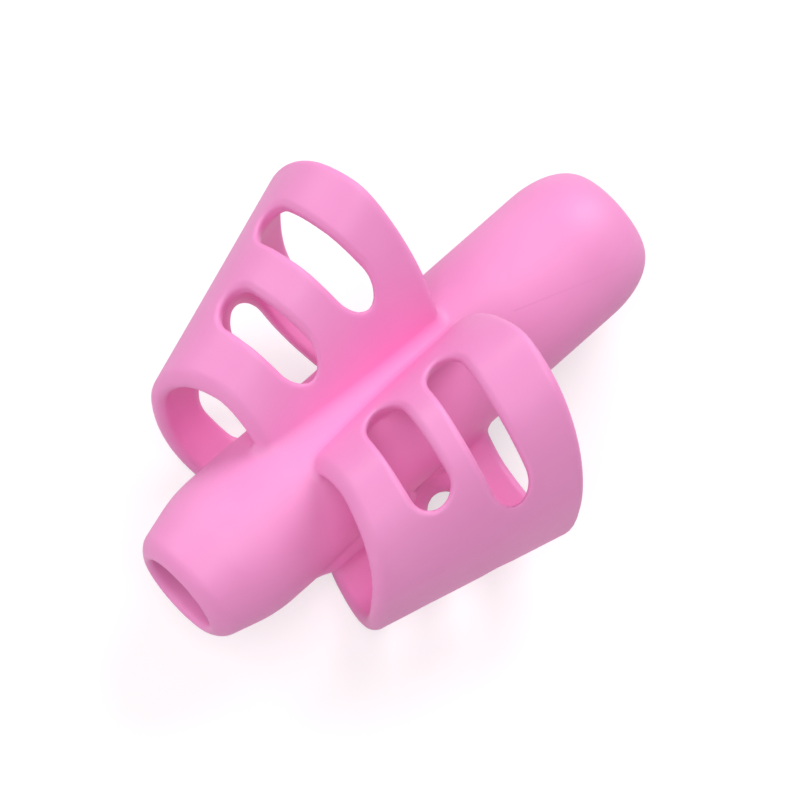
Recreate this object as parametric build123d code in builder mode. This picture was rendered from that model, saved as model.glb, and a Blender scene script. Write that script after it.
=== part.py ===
"""Soft two-finger pencil grip: a bored barrel with a slotted finger sleeve on each flank."""
import os
from math import radians, tan

from build123d import *

os.makedirs("parts", exist_ok=True)

# Barrel, along X with its nose towards -X
barrel_length = 48.8
barrel_diameter = 12.8
bore_diameter = 7.0
bore_lip_rounding = 0.3
nose_length = 5.5
nose_diameter = 10.0
nose_shoulder_rounding = 12.0

# Flat ring left on each end face between the bore's lip and the rounding that takes up the rest
nose_land = 0.1
rear_land = 0.15

# Gap between the barrel and the cut roots of the sleeves, which sway about the barrel's axis
root_clearance = 0.15

# Finger sleeve on the +Y flank: its oval tube is centred beside the barrel's flank, below its top
sleeve_x = -5.15
sleeve_stand_off = 2.05
sleeve_drop = 3.25
sleeve_yaw = 10.0
sleeve_pitch = 4.3
sleeve_wall = 1.6

# Flat strip left along each rim between the roundings of its two edges
rim_land = 0.4

# Reach of the tube from its centre, and its oval at the front and the rear rim
front_reach = 8.4
rear_reach = 10.3
front_half_width = 6.7
rear_half_width = 8.9
front_top = 7.25
rear_top = 13.6
front_bottom = 10.6
rear_bottom = 9.9

# Fullness of each quarter of the oval: 0.55 is an ellipse, more is squarer
outer_top_fullness = 0.59
outer_bottom_fullness = 0.64
inner_fullness = 0.45

# The rims are cut aslant: lean tips the rim's top to the rear, turn its outer side to the rear
front_lean = 8.8
front_turn = -6.4
rear_lean = 11.0
rear_turn = 0.8

# Vent slots: two through the top wall and two through the bottom wall. Each stops short of the
# oval's half width by a margin at its inner end, beside the barrel, and at its outer end.
slot_width = 3.7
slot_rounding = 0.4
top_slot_tilt = 7.0
top_slots = [
    {"station": -0.5, "inner_margin": 2.4, "outer_margin": 3.8},
    {"station": 6.3, "inner_margin": 2.4, "outer_margin": 2.7},
]
bottom_slot_tilt = 16.5
bottom_slots = [
    {"station": -3.7, "inner_margin": 5.5, "outer_margin": 2.8},
    {"station": 2.3, "inner_margin": 3.2, "outer_margin": 2.9},
]

# Worked out from the sizes above
barrel_radius = barrel_diameter / 2
bore_radius = bore_diameter / 2
nose_radius = nose_diameter / 2
nose_end = -barrel_length / 2
rear_end = barrel_length / 2
nose_rounding = nose_radius - bore_radius - bore_lip_rounding - nose_land
rear_rounding = barrel_radius - bore_radius - bore_lip_rounding - rear_land
root_radius = barrel_radius + root_clearance
rim_rounding = (sleeve_wall - rim_land) / 2
sleeve_y = barrel_radius + sleeve_stand_off
sleeve_z = barrel_radius - sleeve_drop
sleeve_length = front_reach + rear_reach
tallest = max(front_top, rear_top, front_bottom, rear_bottom)
widest = max(front_half_width, rear_half_width)
front_slant = tallest * tan(radians(abs(front_lean))) + widest * tan(radians(abs(front_turn)))
rear_slant = tallest * tan(radians(abs(rear_lean))) + widest * tan(radians(abs(rear_turn)))
tube_ends = (-front_reach - front_slant - sleeve_wall, rear_reach + rear_slant + sleeve_wall)

# Local x points outwards across the finger, local y up and local z to the rear along the finger
along_finger = Vector(1, 0, 0).rotate(Axis.Y, -sleeve_pitch).rotate(Axis.Z, sleeve_yaw)
across_finger = Vector(0, 1, 0).rotate(Axis.Z, sleeve_yaw)
sleeve_plane = Plane((sleeve_x, sleeve_y, sleeve_z), x_dir=across_finger, z_dir=along_finger)
across_axis = Axis((0, 0, 0), sleeve_plane.x_dir)
upward_axis = Axis((0, 0, 0), sleeve_plane.y_dir)
finger_axis = Axis((0, 0, 0), sleeve_plane.z_dir)


def tapered(front, rear, station):
    """A size of the oval at a station: it changes evenly from rim to rim and on past both."""
    return front + (rear - front) * (station + front_reach) / sleeve_length


def quarter(half_width, height, fullness):
    """A quarter of an oval, from its side to its top or bottom."""
    side = (half_width, 0)
    crown = (0, height)
    Bezier(side, (half_width, fullness * height), (fullness * half_width, height), crown)


def oval_section(station, inset):
    """The sleeve's oval at a station, or the finger's space there when inset by the wall."""
    half_width = tapered(front_half_width, rear_half_width, station) - inset
    top = tapered(front_top, rear_top, station) - inset
    bottom = tapered(front_bottom, rear_bottom, station) - inset
    with BuildSketch(sleeve_plane.offset(station)) as section:
        with BuildLine():
            quarter(half_width, top, outer_top_fullness)
            quarter(-half_width, top, inner_fullness)
            quarter(-half_width, -bottom, inner_fullness)
            quarter(half_width, -bottom, outer_bottom_fullness)
        make_face()
    return section.sketch


def rim_plane(reach, lean, turn):
    """The slanted plane that cuts a rim of the sleeve."""
    normal = along_finger.rotate(across_axis, lean).rotate(upward_axis, -turn)
    return Plane(sleeve_plane.offset(reach).origin, z_dir=normal)


def slot_span(slot):
    """The middle and the length of a slot across the finger."""
    half_width = tapered(front_half_width, rear_half_width, slot["station"])
    inner_end = slot["inner_margin"] - half_width
    outer_end = half_width - slot["outer_margin"]
    return (inner_end + outer_end) / 2, outer_end - inner_end


def slot_plane(station, tilt, up):
    """A plane on the finger's axis that faces the top or bottom wall, tilted outwards."""
    turn = -up * tilt
    across = across_finger.rotate(finger_axis, turn)
    facing = (sleeve_plane.y_dir * up).rotate(finger_axis, turn)
    return Plane(sleeve_plane.offset(station).origin, x_dir=across, z_dir=facing)


# Barrel: a turned body with a tapered nose, bored through for the pencil
with BuildPart() as barrel:
    with BuildSketch(Plane.XY) as barrel_profile:
        with BuildLine():
            Polyline(
                (nose_end, bore_radius),
                (nose_end, nose_radius),
                (nose_end + nose_length, barrel_radius),
                (rear_end, barrel_radius),
                (rear_end, bore_radius),
                close=True,
            )
        make_face()
        corners = barrel_profile.vertices()
        fillet(corners.group_by(Axis.Y)[0], bore_lip_rounding)
        fillet(barrel_profile.vertices().sort_by_distance((nose_end, nose_radius))[0], nose_rounding)
        fillet(barrel_profile.vertices().sort_by_distance((rear_end, barrel_radius))[0], rear_rounding)
        shoulder = (nose_end + nose_length, barrel_radius)
        fillet(barrel_profile.vertices().sort_by_distance(shoulder)[0], nose_shoulder_rounding)
    revolve(axis=Axis.X)

# Index sleeve: an oval tube, rims rounded, slotted, and cut away round the barrel
with BuildPart() as index_sleeve:
    loft([oval_section(station, 0) for station in tube_ends], ruled=True)
    loft([oval_section(station, sleeve_wall) for station in tube_ends], ruled=True, mode=Mode.SUBTRACT)
    split(bisect_by=rim_plane(-front_reach, front_lean, front_turn), keep=Keep.TOP)
    split(bisect_by=rim_plane(rear_reach, rear_lean, rear_turn), keep=Keep.BOTTOM)
    fillet(index_sleeve.faces().filter_by(GeomType.PLANE).edges(), rim_rounding)
    for slots, tilt, up in ((top_slots, top_slot_tilt, 1), (bottom_slots, bottom_slot_tilt, -1)):
        for slot in slots:
            middle, length = slot_span(slot)
            with BuildSketch(slot_plane(slot["station"], tilt, up)):
                with Locations((middle, 0)):
                    SlotOverall(length, slot_width)
            extrude(amount=2 * tallest, mode=Mode.SUBTRACT)
            lips = index_sleeve.edges(Select.LAST).filter_by(GeomType.LINE, reverse=True)
            fillet(lips, slot_rounding)
    Cylinder(root_radius, 2 * barrel_length, rotation=(0, 90, 0), mode=Mode.SUBTRACT)

# Thumb sleeve: the same on the other flank
with BuildPart() as thumb_sleeve:
    mirror(index_sleeve.part, about=Plane.XZ)

barrel.part.label = "barrel"
index_sleeve.part.label = "index_sleeve"
thumb_sleeve.part.label = "thumb_sleeve"
export_step(barrel.part, "parts/barrel.step")
export_step(index_sleeve.part, "parts/index_sleeve.step")
export_step(thumb_sleeve.part, "parts/thumb_sleeve.step")
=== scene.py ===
"""Pencil grip in soft pink silicone: one smooth moulding, parted at the roots of its two finger sleeves.
"""

import math

import bpy
import numpy as np
from mathutils import Matrix, Vector
from mathutils.geometry import delaunay_2d_cdt


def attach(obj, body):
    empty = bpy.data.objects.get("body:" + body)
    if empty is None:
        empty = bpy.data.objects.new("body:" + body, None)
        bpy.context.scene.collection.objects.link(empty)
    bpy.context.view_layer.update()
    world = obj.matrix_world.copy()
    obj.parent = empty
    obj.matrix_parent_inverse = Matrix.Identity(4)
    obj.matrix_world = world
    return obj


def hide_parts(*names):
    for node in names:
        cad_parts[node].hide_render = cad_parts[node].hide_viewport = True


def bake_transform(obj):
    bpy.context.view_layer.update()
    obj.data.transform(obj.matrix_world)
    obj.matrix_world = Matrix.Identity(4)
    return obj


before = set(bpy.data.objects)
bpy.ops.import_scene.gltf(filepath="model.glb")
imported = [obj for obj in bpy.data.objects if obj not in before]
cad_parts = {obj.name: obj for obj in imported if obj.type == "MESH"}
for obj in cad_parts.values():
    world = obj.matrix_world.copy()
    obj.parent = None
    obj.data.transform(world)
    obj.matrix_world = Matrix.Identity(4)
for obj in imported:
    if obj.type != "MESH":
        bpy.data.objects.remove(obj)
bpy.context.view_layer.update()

MM = 0.001

# Sizes in millimetres and degrees, near those of the solids. The rear rounding is drawn out lengthwise.
BARREL_LENGTH = 49.16
BARREL_RADIUS = 6.48
BORE_RADIUS = 3.5
BORE_LIP = 0.7
NOSE_LENGTH = 5.37
NOSE_RADIUS = 4.94
NOSE_ROUNDING = 1.44
REAR_ROUNDING = 2.81
REAR_ROUNDING_LENGTH = 5.42
SHOULDER_SOFTNESS = 0.5

# Slight waist between the sleeves: its depth, and where along the barrel it sets in and runs out
WAIST = 0.1
WAIST_FRONT = (-14.0, -9.0)
WAIST_REAR = (2.0, 8.0)

# The sleeves' wall, and their oval at two stations along the finger. Its powers: 2 is an ellipse, more
# is squarer. They take ratios to the half width and height, none quite 0, and change over a share of
# these either side of the middle. The taper runs on past the stations by a share of their distance.
SLEEVE_WALL = 1.6
STATIONS = (-8.1, 10.0)
HALF_WIDTHS = (6.867, 9.412)
TOPS = (7.413, 14.258)
BOTTOMS = (11.032, 9.981)
TOP_POWER = 2.142
BOTTOM_POWER = 2.557
INNER_POWER = 1.679
LEAST_RATIO = 1e-6
POWER_CHANGE = 0.4
TAPER_PAST = 0.6

# Rims: reach along the finger, slope and bow across it, slope up the top half and down the bottom half.
# The two slopes run into each other over the bend.
REAR_RIM = (10.111, -0.005, 0.0, 0.184, 0.191)
RIM_BEND = 3.0
RIM_ROUNDING = 0.78

# Slots through the top wall (up 1) and the bottom wall (up -1): their tilt outwards, and the widths of
# the front and the rear slot
TOP_WALL = {"up": 1, "tilt": 7.0, "widths": (3.51, 3.27)}
BOTTOM_WALL = {"up": -1, "tilt": 16.5, "widths": (3.7, 3.62)}
SLOT_ROUNDING = 0.6

# Each sleeve as moulded, the two a little uneven, both given as on the +Y flank: centre, yaw, pitch and
# roll, front rim, and the fillets of the root above and below. Slots, front and rear: station along the
# finger, inner and outer end across it, and skew.
INDEX_SLEEVE = {
    "side": 1,
    "centre": (-5.28, 8.122, 2.804),
    "turns": (7.433, 4.862, -1.477),
    "front_rim": (-8.539, -0.058, -0.006, 0.284, 0.064),
    "root_fillets": (0.9, 2.6),
    "top_slots": ((-0.35, -5.843, 3.003, 0.017), (6.703, -6.597, 4.3, 0.007)),
    "bottom_slots": ((-3.501, -1.524, 4.621, -0.039), (2.272, -4.588, 6.4, 0.045)),
}
THUMB_SLEEVE = {
    "side": -1,
    "centre": (-4.942, 7.918, 2.814),
    "turns": (9.9, 4.434, -2.597),
    "front_rim": (-7.862, -0.124, 0.007, 0.286, 0.069),
    "root_fillets": (0.6, 2.6),
    "top_slots": ((0.098, -6.029, 3.804, -0.038), (5.844, -6.063, 6.761, -0.054)),
    "bottom_slots": ((-3.507, -1.545, 4.526, -0.035), (2.41, -4.551, 5.85, 0.04)),
}

# Roots: the heights between which the fillet below gives way to the one above, what the fillet below
# shrinks to at the rear, and over which stretch of the barrel
ROOT_HEIGHTS = (-3.5, 1.5)
REAR_FILLET = 0.8
REAR_SPAN = (-4.0, 4.0)

# Thin lining low on the barrel's flank inside the sleeves: its thickness, how far it sinks away above,
# and the rounding of its corner with the wall
ROOT_LINING = 0.15
ROOT_FADE = 3.0
ROOT_CORNER = 1.0

# How far past the barrel's middle plane each sleeve is worked out
OVERLAP = 3.0

# Faint line on the rear of the barrel where the silicone met in the mould, coloured darker as painted
# shade of a
# shallow crease: its plane and half width, its ends along the barrel, fading to the rear, how far out on
# the thumb's flank it starts, and the strength of its painted shade
KNIT_NORMAL = (0.318, 0.88, 0.354)
KNIT_OFFSET = 3.02
KNIT_WIDTH = 0.07
KNIT_ENDS = (11.0, 22.5)
KNIT_FLANK = -2.5
KNIT_PAINTED_SHADE_STRENGTH = 0.16

# Grid for meshing the moulding: its spacing, and its spans, each a whole number of blocks. A block is the
# steps between rough samples. Near the surface the grid is filled in, lot by lot.
GRID = 0.25
GRID_SPANS = ((-25.6, 25.4), (-20.0, 20.0), (-9.5, 19.5))
BLOCK = 4
NEAR = 2.4
LOTS = 24

# Settling the mesh on the form: rounds that also move each point by a share of the way to its neighbours'
# mean, rounds that don't, the least slope that a round reckons with, and the step that measures slopes
EVENING_ROUNDS = 3
EVENING_SHARE = 0.5
LAST_ROUNDS = 2
LEAST_SLOPE = 0.2
GRADIENT_STEP = 0.03

# Radius of the cylinder, just outside the barrel, along which the sleeves part from it. Caps close the
# cut with triangles inside their ring alone.
PART_RADIUS = 6.9
CAP_INSIDE = 1
CAP_TOLERANCE = 1e-9

# Silicone: its two pinks and the painted shade colour of the mould line's crease, the scales of its
# mottling and its fine bloom per metre, the bloom's height in millimetres and its strength, its
# roughness, and the noise that counts
PINKS = ((0.94, 0.305, 0.645, 1), (0.96, 0.335, 0.675, 1))
KNIT_PAINTED_SHADE_COLOUR = (0.55, 0.12, 0.3, 1)
MOTTLE_SCALE = 140.0
BLOOM_SCALE = 2600.0
BLOOM_HEIGHT = 0.06
BLOOM_STRENGTH = 0.12
ROUGHNESS = (0.44, 0.54)
NOISE_SPREAD = (0.3, 0.7)

# Floor and world. The floor's glow is seen, straight or in a reflection, but it doesn't light the grip.
# The floor's pale colour has a faint pink tint: painted pink bounce light onto the grip's shaded sides.
FLOOR_REACH = 3.0
FLOOR_COLOUR_WITH_PAINTED_PINK_BOUNCE = (0.5, 0.45, 0.47, 1)
FLOOR_GLOW = 0.62
WHITE = (1, 1, 1, 1)
WORLD_STRENGTH = 0.28

# Soft boxes, in metres and watts: behind the rear end, near the camera, before the nose and beyond the
# index sleeve
LAMP_SIZE = 0.5
LAMP_DISTANCE = 0.8
LAMPS = (
    ("key", (0.7, 0.1, 0.7), 3.7),
    ("front_fill", (-0.25, -0.33, 0.91), 2.3),
    ("nose_fill", (-0.9, -0.1, 0.42), 0.7),
    ("side_fill", (-0.4, 0.7, 0.6), 1.5),
)

# Camera as fitted to the photograph: three turns, the distance and the image scale
TURN, NOD, TILT = (math.radians(a) for a in (41.424, 14.339, 19.7246))
DISTANCE = 485.72
PIXELS_PER_MM = 12.0994
AIM = Vector((-0.99, 0, 0))
AIM_PIXEL = (387.2, 410.67)
IMAGE = 800
SENSOR_WIDTH = 36


def rounded_meet(a, b, radius):
    """Where two solids overlap, with the edge between them rounded."""
    u = np.maximum(a + radius, 0)
    v = np.maximum(b + radius, 0)
    return np.minimum(np.maximum(a, b), -radius) + np.hypot(u, v)


def filleted_join(a, b, radius):
    """Two solids together, with a fillet in the corner between them."""
    u = np.maximum(radius - a, 0)
    v = np.maximum(radius - b, 0)
    return np.maximum(np.minimum(a, b), radius) - np.hypot(u, v)


def soft_max(a, b, width):
    """The larger of two, with the crease between them softened."""
    h = np.maximum(width - np.abs(a - b), 0)
    return np.maximum(a, b) + h * h / (4 * width)


def ease(low, high, value):
    """From 0 at low to 1 at high, gently at both ends."""
    t = np.clip((value - low) / (high - low), 0, 1)
    return t * t * (3 - 2 * t)


def barrel_field(x, r):
    """Signed distance to the barrel without its bore."""
    slope = math.atan2(BARREL_RADIUS - NOSE_RADIUS, NOSE_LENGTH)
    nose_end = -BARREL_LENGTH / 2
    taper = (r - NOSE_RADIUS) * math.cos(slope) - (x - nose_end) * math.sin(slope)
    waist = WAIST * (ease(*WAIST_FRONT, x) - ease(*WAIST_REAR, x))
    side = soft_max(taper, r - BARREL_RADIUS + waist, SHOULDER_SOFTNESS)
    side = rounded_meet(side, nose_end - x, NOSE_ROUNDING)
    rear = (x - BARREL_LENGTH / 2) * REAR_ROUNDING / REAR_ROUNDING_LENGTH
    return rounded_meet(side, rear, REAR_ROUNDING)


def tapered(sizes, share):
    """A size of the oval at a share of the way from the first station to the second."""
    return sizes[0] + (sizes[1] - sizes[0]) * share


def oval_field(u, v, s, inset):
    """Signed distance, near enough, to the tapered oval of a sleeve, or to the finger's space when inset
    by the wall. Here and below, u runs outwards across the finger, v up and s to the rear along it."""
    length = STATIONS[1] - STATIONS[0]
    share = np.clip((s - STATIONS[0]) / length, -TAPER_PAST, 1 + TAPER_PAST)
    width = tapered(HALF_WIDTHS, share) - inset
    height = np.where(v > 0, tapered(TOPS, share) - inset, tapered(BOTTOMS, share) - inset)
    outside = ease(-POWER_CHANGE, POWER_CHANGE, u / width)
    above = ease(-POWER_CHANGE, POWER_CHANGE, v / height)
    outer_power = BOTTOM_POWER + (TOP_POWER - BOTTOM_POWER) * above
    power = INNER_POWER + (outer_power - INNER_POWER) * outside
    a = np.maximum(np.abs(u) / width, LEAST_RATIO)
    b = np.maximum(np.abs(v) / height, LEAST_RATIO)
    rho = (a ** power + b ** power) ** (1 / power)
    along_u = rho ** (1 - power) * a ** (power - 1)
    along_v = rho ** (1 - power) * b ** (power - 1)
    width_slope = (HALF_WIDTHS[1] - HALF_WIDTHS[0]) / length
    height_slope = np.where(v > 0, TOPS[1] - TOPS[0], BOTTOMS[1] - BOTTOMS[0]) / length
    along_s = along_u * a * width_slope / width + along_v * b * height_slope / height
    return (rho - 1) / np.sqrt((along_u / width) ** 2 + (along_v / height) ** 2 + along_s ** 2)


def past_rim(rim, u, v, s):
    """Distance to the rear of a rim's gently bent cut."""
    reach, across, bow, upper, lower = rim
    above = (v + np.sqrt(v * v + RIM_BEND ** 2) - RIM_BEND) / 2
    cut = reach + across * u + bow * u * u + upper * above + lower * (v - above)
    return (s - cut) / math.sqrt(1 + across ** 2 + upper ** 2)


def sleeve_frame(sleeve):
    """Directions along the finger, outwards across it and up, for the sleeve on the +Y flank."""
    yaw, pitch, roll = (math.radians(a) for a in sleeve["turns"])
    along = np.array([math.cos(pitch) * math.cos(yaw), math.cos(pitch) * math.sin(yaw), math.sin(pitch)])
    level = np.array([-math.sin(yaw), math.cos(yaw), 0.0])
    upright = np.cross(along, level)
    across = math.cos(roll) * level + math.sin(roll) * upright
    return along, across, np.cross(along, across)


def sleeve_field(sleeve, p, barrel):
    """Signed distance to a slotted sleeve and the barrel that its root runs into."""
    along, across, upward = sleeve_frame(sleeve)
    q = p * (1, sleeve["side"], 1) - sleeve["centre"]
    u, v, s = q @ across, q @ upward, q @ along
    lining = ROOT_LINING - ROOT_FADE * ease(*ROOT_HEIGHTS, p[:, 2]) - barrel
    space = rounded_meet(oval_field(u, v, s, SLEEVE_WALL), lining, ROOT_CORNER)
    shell = np.maximum(oval_field(u, v, s, 0.0), -space)
    ends = np.maximum(-past_rim(sleeve["front_rim"], u, v, s), past_rim(REAR_RIM, u, v, s))
    tube = rounded_meet(shell, ends, RIM_ROUNDING)
    upper, lower = sleeve["root_fillets"]
    lower = lower + (REAR_FILLET - lower) * ease(*REAR_SPAN, p[:, 0])
    solid = filleted_join(barrel, tube, lower + (upper - lower) * ease(*ROOT_HEIGHTS, p[:, 2]))
    for wall, slots in ((TOP_WALL, sleeve["top_slots"]), (BOTTOM_WALL, sleeve["bottom_slots"])):
        up = wall["up"]
        tilt = math.radians(wall["tilt"])
        facing = up * v * math.cos(tilt) + u * math.sin(tilt)
        for width, (station, inner, outer, skew) in zip(wall["widths"], slots):
            aside = u * math.cos(tilt) - up * v * math.sin(tilt) - (inner + outer) / 2
            beyond = np.maximum(np.abs(aside) - (outer - inner - width) / 2, 0)
            slot = np.maximum(np.hypot(beyond, s - station - skew * aside) - width / 2, -facing)
            solid = rounded_meet(solid, -slot, SLOT_ROUNDING)
    return solid


def form(p):
    """Signed distance to the whole moulding at points in millimetres."""
    r = np.hypot(p[:, 1], p[:, 2])
    barrel = barrel_field(p[:, 0], r)
    solid = barrel.copy()
    for sleeve in (INDEX_SLEEVE, THUMB_SLEEVE):
        near = sleeve["side"] * p[:, 1] > -OVERLAP
        solid[near] = np.minimum(solid[near], sleeve_field(sleeve, p[near], barrel[near]))
    return rounded_meet(solid, BORE_RADIUS - r, BORE_LIP)


def gradient(p):
    """The form's slope, from four points round each."""
    g = np.zeros_like(p)
    for corner in ((1, -1, -1), (-1, -1, 1), (-1, 1, -1), (1, 1, 1)):
        step = np.array(corner, float)
        g += form(p + GRADIENT_STEP * step)[:, None] * step
    return g / (4 * GRADIENT_STEP)


def field_grid():
    """The form on a grid, worked out in full only near the surface."""
    axes = [np.arange(low, high, GRID) for low, high in GRID_SPANS]
    rough_axes = [axis[::BLOCK] for axis in axes]
    values = form(np.stack(np.meshgrid(*rough_axes, indexing="ij"), -1).reshape(-1, 3))
    values = values.reshape([len(axis) for axis in rough_axes])
    for n in range(3):
        values = values.repeat(BLOCK, n)
    near = np.abs(values) < NEAR
    index = np.argwhere(near)
    points = np.stack([axis[index[:, n]] for n, axis in enumerate(axes)], -1)
    values[near] = np.concatenate([form(some) for some in np.array_split(points, LOTS)])
    return values, axes


def surface_nets(values, axes):
    """Quads round the zero surface of a grid of signed distances."""
    inside = values < 0
    shape = np.array(values.shape) - 1
    corners = [(i, j, k) for i in (0, 1) for j in (0, 1) for k in (0, 1)]

    def corner(array, c):
        return array[c[0]:c[0] + shape[0], c[1]:c[1] + shape[1], c[2]:c[2] + shape[2]]

    count = sum(corner(inside, c).astype(np.int8) for c in corners)
    active = (count > 0) & (count < 8)
    cells = np.argwhere(active)
    number = np.full(shape, -1)
    number[active] = np.arange(len(cells))
    total = np.zeros((len(cells), 3))
    hits = np.zeros(len(cells))
    for a in corners:
        for axis in range(3):
            if a[axis]:
                continue
            b = tuple(1 if n == axis else a[n] for n in range(3))
            fa = values[tuple((cells + a).T)]
            fb = values[tuple((cells + b).T)]
            crossing = (fa < 0) != (fb < 0)
            t = np.where(crossing, fa / np.where(crossing, fa - fb, 1), 0)
            point = np.array(a, float) + t[:, None] * (np.array(b) - np.array(a))
            total += np.where(crossing[:, None], point, 0)
            hits += crossing
    start = np.array([axis[0] for axis in axes])
    points = start + GRID * (cells + total / hits[:, None])
    quads = []
    for axis in range(3):
        one, two = (axis + 1) % 3, (axis + 2) % 3
        low = [slice(None)] * 3
        high = [slice(None)] * 3
        low[axis], high[axis] = slice(None, -1), slice(1, None)
        before, after = inside[tuple(low)], inside[tuple(high)]
        edges = np.argwhere(before != after)
        keep = np.ones(len(edges), bool)
        for n in (one, two):
            keep &= (edges[:, n] > 0) & (edges[:, n] < values.shape[n] - 1)
        edges = edges[keep]
        solid_first = before[tuple(edges.T)]
        ring = []
        for p, q in ((-1, -1), (0, -1), (0, 0), (-1, 0)):
            shift = np.zeros(3, int)
            shift[one], shift[two] = p, q
            ring.append(number[tuple((edges + shift).T)])
        ring = np.stack(ring, 1)
        ring[~solid_first] = ring[~solid_first, ::-1]
        quads.append(ring)
    return points, np.concatenate(quads)


def settle(points, quads):
    """Even out the quads and put every point on the form, with its normal."""
    ends = np.concatenate([quads[:, [n, (n + 1) % 4]] for n in range(4)])
    both = np.concatenate([ends, ends[:, ::-1]])
    share = np.bincount(both[:, 0], minlength=len(points))[:, None]
    for turn in range(EVENING_ROUNDS + LAST_ROUNDS):
        g = gradient(points)
        length = np.maximum(np.linalg.norm(g, axis=1, keepdims=True), LEAST_SLOPE)
        points = points - form(points)[:, None] * g / length ** 2
        if turn < EVENING_ROUNDS:
            totals = [np.bincount(both[:, 0], points[both[:, 1], n], len(points)) for n in range(3)]
            pull = np.stack(totals, 1) / share - points
            normal = g / length
            pull -= np.sum(pull * normal, 1, keepdims=True) * normal
            points = points + EVENING_SHARE * pull
    g = gradient(points)
    return points, g / np.linalg.norm(g, axis=1, keepdims=True)


def part_mesh(points, normals, quads):
    """Part the moulding along a cylinder just outside the barrel into the faces of the barrel and of each
    sleeve. Both sides of a cut share its points, so no gap shows."""
    points, normals = list(map(tuple, points)), list(map(tuple, normals))
    reach = np.array([math.hypot(p[1], p[2]) - PART_RADIUS for p in points])
    beyond = reach > 0
    tally = beyond[quads].sum(1)
    barrel = [tuple(q) for q in quads[tally == 0]]
    sleeves = [tuple(q) for q in quads[tally == 4]]
    cut_points = {}

    def cut(a, b):
        key = (min(a, b), max(a, b))
        if key not in cut_points:
            p, q = np.array(points[key[0]]), np.array(points[key[1]])
            t = reach[key[0]] / (reach[key[0]] - reach[key[1]])
            normal = (1 - t) * np.array(normals[key[0]]) + t * np.array(normals[key[1]])
            cut_points[key] = len(points)
            points.append(tuple((1 - t) * p + t * q))
            normals.append(tuple(normal / np.linalg.norm(normal)))
        return cut_points[key]

    for quad in quads[(tally > 0) & (tally < 4)]:
        a, b, c, d = (int(n) for n in quad)
        for triangle in ((a, b, c), (a, c, d)):
            sides = ([], [])
            for n in range(3):
                here, there = triangle[n], triangle[(n + 1) % 3]
                sides[int(beyond[here])].append(here)
                if beyond[here] != beyond[there]:
                    middle = cut(here, there)
                    sides[0].append(middle)
                    sides[1].append(middle)
            if len(sides[0]) > 2:
                barrel.append(tuple(sides[0]))
            if len(sides[1]) > 2:
                sleeves.append(tuple(sides[1]))
    points, normals = np.array(points), np.array(normals)
    index = [f for f in sleeves if points[f[0]][1] > 0]
    thumb = [f for f in sleeves if points[f[0]][1] < 0]
    return points, normals, {"barrel": barrel, "index_sleeve": index, "thumb_sleeve": thumb}


def open_loops(faces):
    """Closed rings of the edges that only one face uses, running so that a cap faces outwards."""
    used = {}
    for f in faces:
        for a, b in zip(f, f[1:] + f[:1]):
            used[(a, b)] = True
    following = {b: a for a, b in used if (b, a) not in used}
    loops = []
    while following:
        first = next(iter(following))
        loop = [first]
        point = following.pop(first)
        while point != first:
            loop.append(point)
            point = following.pop(point)
        loops.append(loop)
    return loops


def caps(points, faces):
    """Triangles that close the cut, laid out on the unrolled cylinder."""
    found = []
    for loop in open_loops(faces):
        ring = points[loop]
        angle = np.unwrap(np.arctan2(ring[:, 2], ring[:, 1]))
        flat = [Vector((x, PART_RADIUS * a)) for x, a in zip(ring[:, 0], angle)]
        order = list(range(len(loop)))
        area = sum(flat[n - 1].x * flat[n].y - flat[n].x * flat[n - 1].y for n in order)
        edges = [(n, (n + 1) % len(loop)) for n in order]
        verts, _, triangles, _, _, _ = delaunay_2d_cdt(flat, edges, [], CAP_INSIDE, CAP_TOLERANCE)
        if len(verts) != len(loop):
            raise RuntimeError("the cap of a cut needs its own ring of points")
        for t in triangles:
            a, b, c = (verts[n] for n in t)
            turn = (b.x - a.x) * (c.y - a.y) - (c.x - a.x) * (b.y - a.y)
            t = t if (turn > 0) == (area > 0) else t[::-1]
            found.append(tuple(loop[n] for n in t))
    return found


def make_piece(name, points, normals, faces, material):
    """A closed smooth piece; the hidden faces of a cut are flat."""
    lids = caps(points, faces)
    everything = faces + lids
    used = np.unique(np.concatenate([np.array(f) for f in everything]))
    number = np.full(len(points), -1)
    number[used] = np.arange(len(used))
    mesh = bpy.data.meshes.new(name)
    mesh.from_pydata((points[used] * MM).tolist(), [], [number[list(f)].tolist() for f in everything])
    mesh.polygons.foreach_set("use_smooth", np.ones(len(everything), bool))
    mesh.update()
    loops = []
    for n, f in enumerate(everything):
        if n < len(faces):
            loops.extend(normals[list(f)].tolist())
        else:
            loops.extend([tuple(mesh.polygons[n].normal)] * len(f))
    mesh.normals_split_custom_set(loops)
    mesh.materials.append(material)
    piece = bpy.data.objects.new(name, mesh)
    bpy.context.scene.collection.objects.link(piece)
    return piece


def node(tree, kind, **inputs):
    """A new shader node with some of its inputs set."""
    made = tree.nodes.new(kind)
    for name, value in inputs.items():
        made.inputs[name].default_value = value
    return made


def math_node(tree, operation, *values):
    """The result of a sum on sockets and plain numbers."""
    made = tree.nodes.new("ShaderNodeMath")
    made.operation = operation
    for n, value in enumerate(values):
        if isinstance(value, float):
            made.inputs[n].default_value = value
        else:
            tree.links.new(value, made.inputs[n])
    return made.outputs["Value"]


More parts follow.
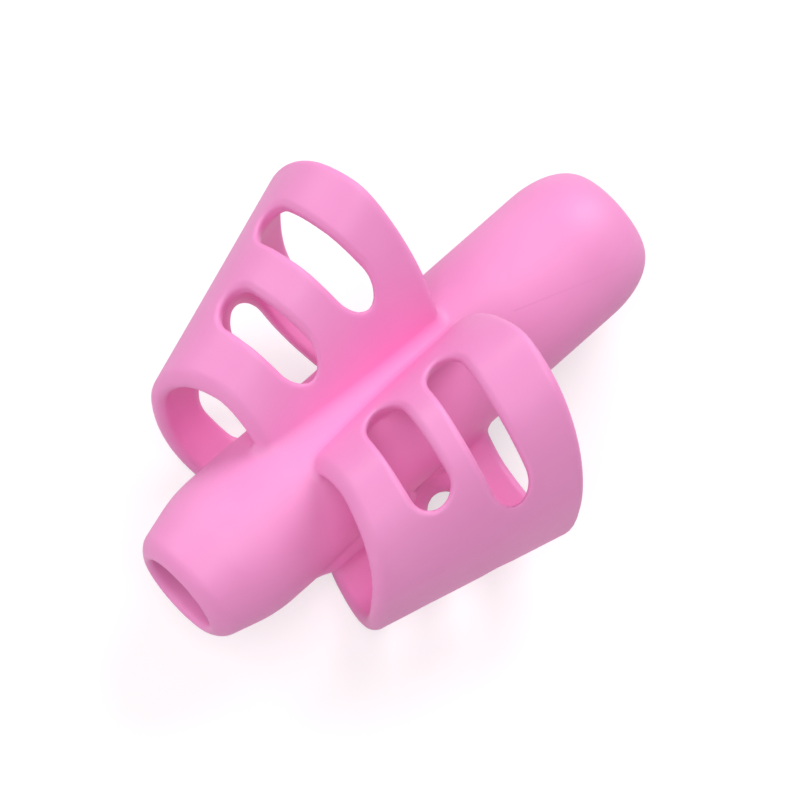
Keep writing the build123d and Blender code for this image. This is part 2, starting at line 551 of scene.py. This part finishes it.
def silicone_material():
    """Soft satin silicone: slightly uneven pink, a faint mould line darkened with painted shade, and a
    fine bloom.
    """
    material = bpy.data.materials.new("silicone_pink")
    material.use_nodes = True
    tree = material.node_tree
    link = tree.links.new
    shader = tree.nodes["Principled BSDF"]
    place = tree.nodes.new("ShaderNodeTexCoord")

    mottle = node(tree, "ShaderNodeTexNoise", Scale=MOTTLE_SCALE, Detail=3.0, Roughness=0.5)
    link(place.outputs["Object"], mottle.inputs["Vector"])
    tint = tree.nodes.new("ShaderNodeValToRGB")
    for stop, position, pink in zip(tint.color_ramp.elements, NOISE_SPREAD, PINKS):
        stop.position = position
        stop.color = pink
    link(mottle.outputs["Fac"], tint.inputs["Fac"])

    # The mould line is drawn as a darker stripe in the base colour: painted shade of a shallow crease,
    # fading to the rear
    knit = tree.nodes.new("ShaderNodeVectorMath")
    knit.operation = "DOT_PRODUCT"
    knit.inputs[1].default_value = KNIT_NORMAL
    link(place.outputs["Object"], knit.inputs[0])
    point = tree.nodes.new("ShaderNodeSeparateXYZ")
    link(place.outputs["Object"], point.inputs["Vector"])
    front, rear = KNIT_ENDS
    fading = {"From Min": rear * MM, "From Max": front * MM, "To Max": KNIT_PAINTED_SHADE_STRENGTH}
    fade = node(tree, "ShaderNodeMapRange", **fading)
    link(point.outputs["X"], fade.inputs["Value"])
    middle = (front + rear) / 2
    half = (rear - front) / 2
    painted_crease_shade = fade.outputs["Result"]
    for factor in (
        math_node(tree, "COMPARE", knit.outputs["Value"], KNIT_OFFSET * MM, KNIT_WIDTH * MM),
        math_node(tree, "COMPARE", point.outputs["X"], middle * MM, half * MM),
        math_node(tree, "LESS_THAN", point.outputs["Y"], KNIT_FLANK * MM),
    ):
        painted_crease_shade = math_node(tree, "MULTIPLY", painted_crease_shade, factor)
    painted_shade_mix = tree.nodes.new("ShaderNodeMix")
    painted_shade_mix.data_type = "RGBA"
    painted_shade_mix.inputs["B"].default_value = KNIT_PAINTED_SHADE_COLOUR
    link(painted_crease_shade, painted_shade_mix.inputs["Factor"])
    link(tint.outputs["Color"], painted_shade_mix.inputs["A"])
    link(painted_shade_mix.outputs["Result"], shader.inputs["Base Color"])

    bloom = node(tree, "ShaderNodeTexNoise", Scale=BLOOM_SCALE, Detail=4.0, Roughness=0.6)
    link(place.outputs["Object"], bloom.inputs["Vector"])
    gloss = tree.nodes.new("ShaderNodeMapRange")
    for name, value in zip(("From Min", "From Max", "To Min", "To Max"), NOISE_SPREAD + ROUGHNESS):
        gloss.inputs[name].default_value = value
    link(bloom.outputs["Fac"], gloss.inputs["Value"])
    link(gloss.outputs["Result"], shader.inputs["Roughness"])
    bump = node(tree, "ShaderNodeBump", Strength=BLOOM_STRENGTH, Distance=BLOOM_HEIGHT * MM)
    link(bloom.outputs["Fac"], bump.inputs["Height"])
    link(bump.outputs["Normal"], shader.inputs["Normal"])
    return material


# The moulding and its three members
values, axes = field_grid()
points, quads = surface_nets(values, axes)
points, normals = settle(points, quads)
points, normals, members = part_mesh(points, normals, quads)
silicone = silicone_material()
pieces = {}
for name, faces in members.items():
    pieces[name] = make_piece(name + "_skin", points, normals, faces, silicone)
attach(pieces["barrel"], "barrel")
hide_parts("barrel")
for name, side in (("index_sleeve", 1), ("thumb_sleeve", -1)):
    piece = pieces[name]
    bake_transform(piece)
    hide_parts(name)

# White floor that the grip lies on
floor_mesh = bpy.data.meshes.new("floor")
floor_z = points[:, 2].min() * MM
corners = [(x * FLOOR_REACH, y * FLOOR_REACH, floor_z) for x, y in ((-1, -1), (1, -1), (1, 1), (-1, 1))]
floor_mesh.from_pydata(corners, [], [(0, 1, 2, 3)])
floor = bpy.data.objects.new("floor", floor_mesh)
bpy.context.scene.collection.objects.link(floor)
paper = bpy.data.materials.new("floor_white")
paper.use_nodes = True
tree = paper.node_tree
shader = tree.nodes["Principled BSDF"]
shader.inputs["Roughness"].default_value = 0.9
shader.inputs["Specular IOR Level"].default_value = 0.1
# Pale floor with a faint pink tint: painted pink bounce light from the silicone
shader.inputs["Base Color"].default_value = FLOOR_COLOUR_WITH_PAINTED_PINK_BOUNCE
shader.inputs["Emission Color"].default_value = WHITE
rays = tree.nodes.new("ShaderNodeLightPath")
seen = rays.outputs["Is Camera Ray"]
for kind in ("Is Glossy Ray", "Is Transmission Ray"):
    seen = math_node(tree, "MAXIMUM", seen, rays.outputs[kind])
tree.links.new(math_node(tree, "MULTIPLY", seen, FLOOR_GLOW), shader.inputs["Emission Strength"])
floor_mesh.materials.append(paper)

# White world, and soft boxes that face the grip
world = bpy.data.worlds.new("studio")
world.use_nodes = True
background = world.node_tree.nodes["Background"]
background.inputs["Color"].default_value = WHITE
background.inputs["Strength"].default_value = WORLD_STRENGTH
bpy.context.scene.world = world
for name, direction, power in LAMPS:
    lamp = bpy.data.lights.new(name, "AREA")
    lamp.shape = "DISK"
    lamp.size = LAMP_SIZE
    lamp.energy = power
    light = bpy.data.objects.new(name, lamp)
    light.location = Vector(direction).normalized() * LAMP_DISTANCE
    light.rotation_euler = (-light.location).to_track_quat("-Z", "Y").to_euler()
    bpy.context.scene.collection.objects.link(light)

# Camera: its directions in the part's frame, and its place, shifted to put the aim on its pixel
toward = Vector((-math.sin(NOD), -math.sin(TILT) * math.cos(NOD), math.cos(TILT) * math.cos(NOD)))
axis_dir = Vector((math.cos(NOD), -math.sin(TILT) * math.sin(NOD), math.cos(TILT) * math.sin(NOD)))
side_dir = Vector((0, -math.cos(TILT), -math.sin(TILT)))
right = math.cos(TURN) * axis_dir + math.sin(TURN) * side_dir
up = math.sin(TURN) * axis_dir - math.cos(TURN) * side_dir
offset = right * (IMAGE / 2 - AIM_PIXEL[0]) + up * (AIM_PIXEL[1] - IMAGE / 2)
eye = AIM + toward * DISTANCE + offset / PIXELS_PER_MM
lens = bpy.data.cameras.new("camera")
lens.sensor_width = SENSOR_WIDTH
lens.lens = SENSOR_WIDTH * PIXELS_PER_MM * DISTANCE / IMAGE
lens.clip_start = 0.01
camera = bpy.data.objects.new("camera", lens)
basis = Matrix((right, up, toward)).transposed().to_4x4()
camera.matrix_world = Matrix.Translation(eye * MM) @ basis
bpy.context.scene.collection.objects.link(camera)
bpy.context.scene.camera = camera

bpy.context.scene.view_settings.view_transform = "Standard"
